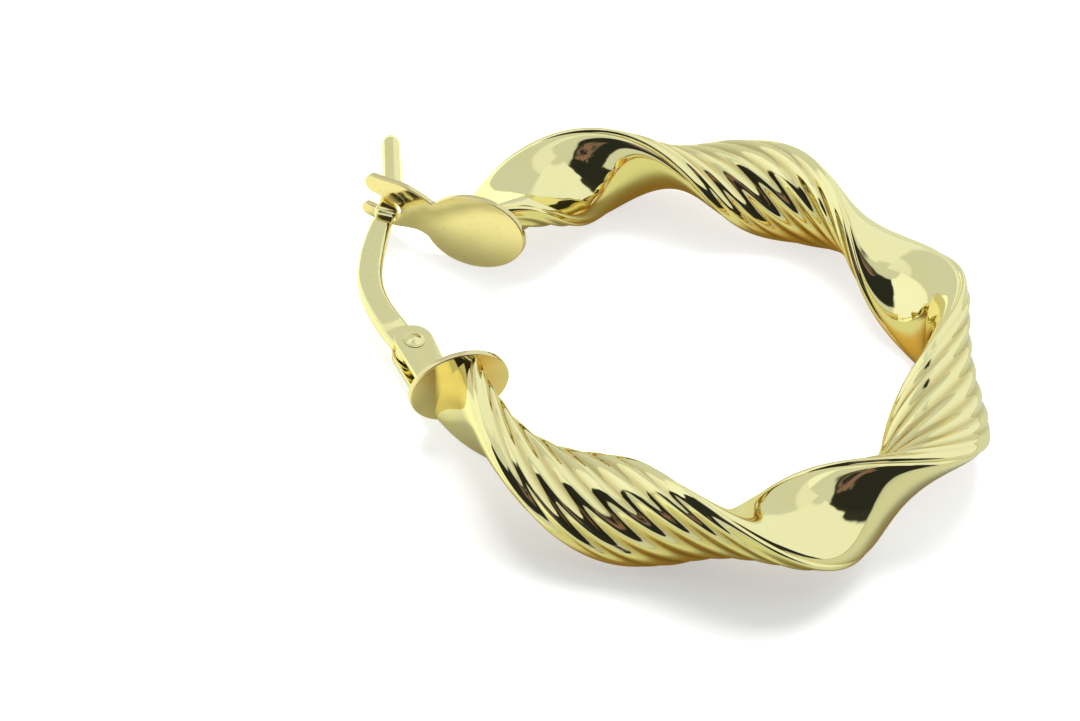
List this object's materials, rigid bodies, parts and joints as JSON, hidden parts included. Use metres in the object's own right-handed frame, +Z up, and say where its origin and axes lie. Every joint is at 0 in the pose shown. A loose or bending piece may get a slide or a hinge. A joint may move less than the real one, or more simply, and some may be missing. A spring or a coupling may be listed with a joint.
{
  "type": "hoop earring",
  "caption": "Twisted hoop earring with alternating smooth and ribbed faces and a hinged ear wire that closes into a forked catch.",
  "frame": {"origin": "middle of the underside of the earring lying on its side", "axes": "+Z up through the ring's open middle, -X towards the gap and the ear wire, +Y from the hinge towards the catch"},
  "size_m": [0.029, 0.0252, 0.0044],
  "materials": {
    "hoop_gold": "mirror-polished pale yellow gold, smooth and ribbed faces",
    "wire_gold": "polished pale yellow gold",
    "pin_gold": "polished pale yellow gold"
  },
  "bodies": {
    "hoop": {"hoop": "hoop_gold", "hinge_pin": "pin_gold"},
    "ear_wire": {"ear_wire": "wire_gold"}
  },
  "joints": [
    {"name": "ear_wire_hinge", "type": "hinge", "parent": "hoop", "child": "ear_wire", "pos_m": [-0.01074, -0.00322, 0.00135], "axis": [0, 0, 1], "range_deg": [0, 100]}
  ]
}
